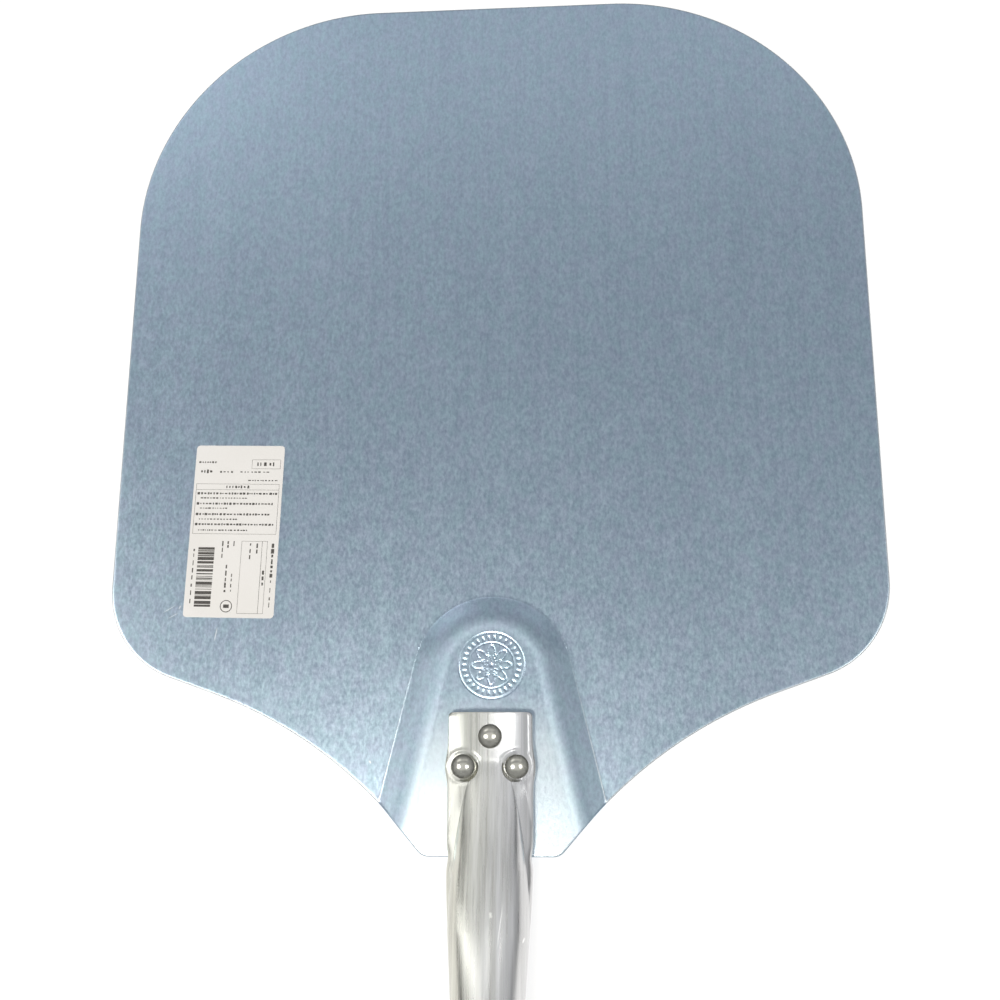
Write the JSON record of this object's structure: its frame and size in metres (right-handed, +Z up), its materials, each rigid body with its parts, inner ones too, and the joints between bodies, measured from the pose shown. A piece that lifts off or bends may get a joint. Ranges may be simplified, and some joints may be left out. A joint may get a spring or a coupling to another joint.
{
  "type": "pizza peel",
  "caption": "Long-handled peel with a flat aluminium blade, a pressed pad at its neck and a riveted tube handle, for moving pizzas in and out of an oven.",
  "frame": {"origin": "centre of the blade's flat underside, half-way along the blade", "axes": "+Y to the blade's front edge, with the handle towards -Y; +Z up, out of the side the handle is riveted to; +X to the right, seen from the handle"},
  "size_m": [0.305, 0.9, 0.0317],
  "materials": {
    "sheet_aluminium": "rolled mill finish, satin, with fine grain",
    "tube_aluminium": "drawn, bright, with fine lengthwise lines",
    "rivet_metal": "polished",
    "label_paper": "printed paper sticker, matt",
    "cap_plastic": "moulded polyethylene, fine texture"
  },
  "bodies": {
    "root": {"blade": "sheet_aluminium", "handle_tube": "tube_aluminium", "front_rivet": "rivet_metal", "left_rivet": "rivet_metal", "right_rivet": "rivet_metal", "label": "label_paper", "hanging_cap": "cap_plastic"}
  },
  "joints": []
}
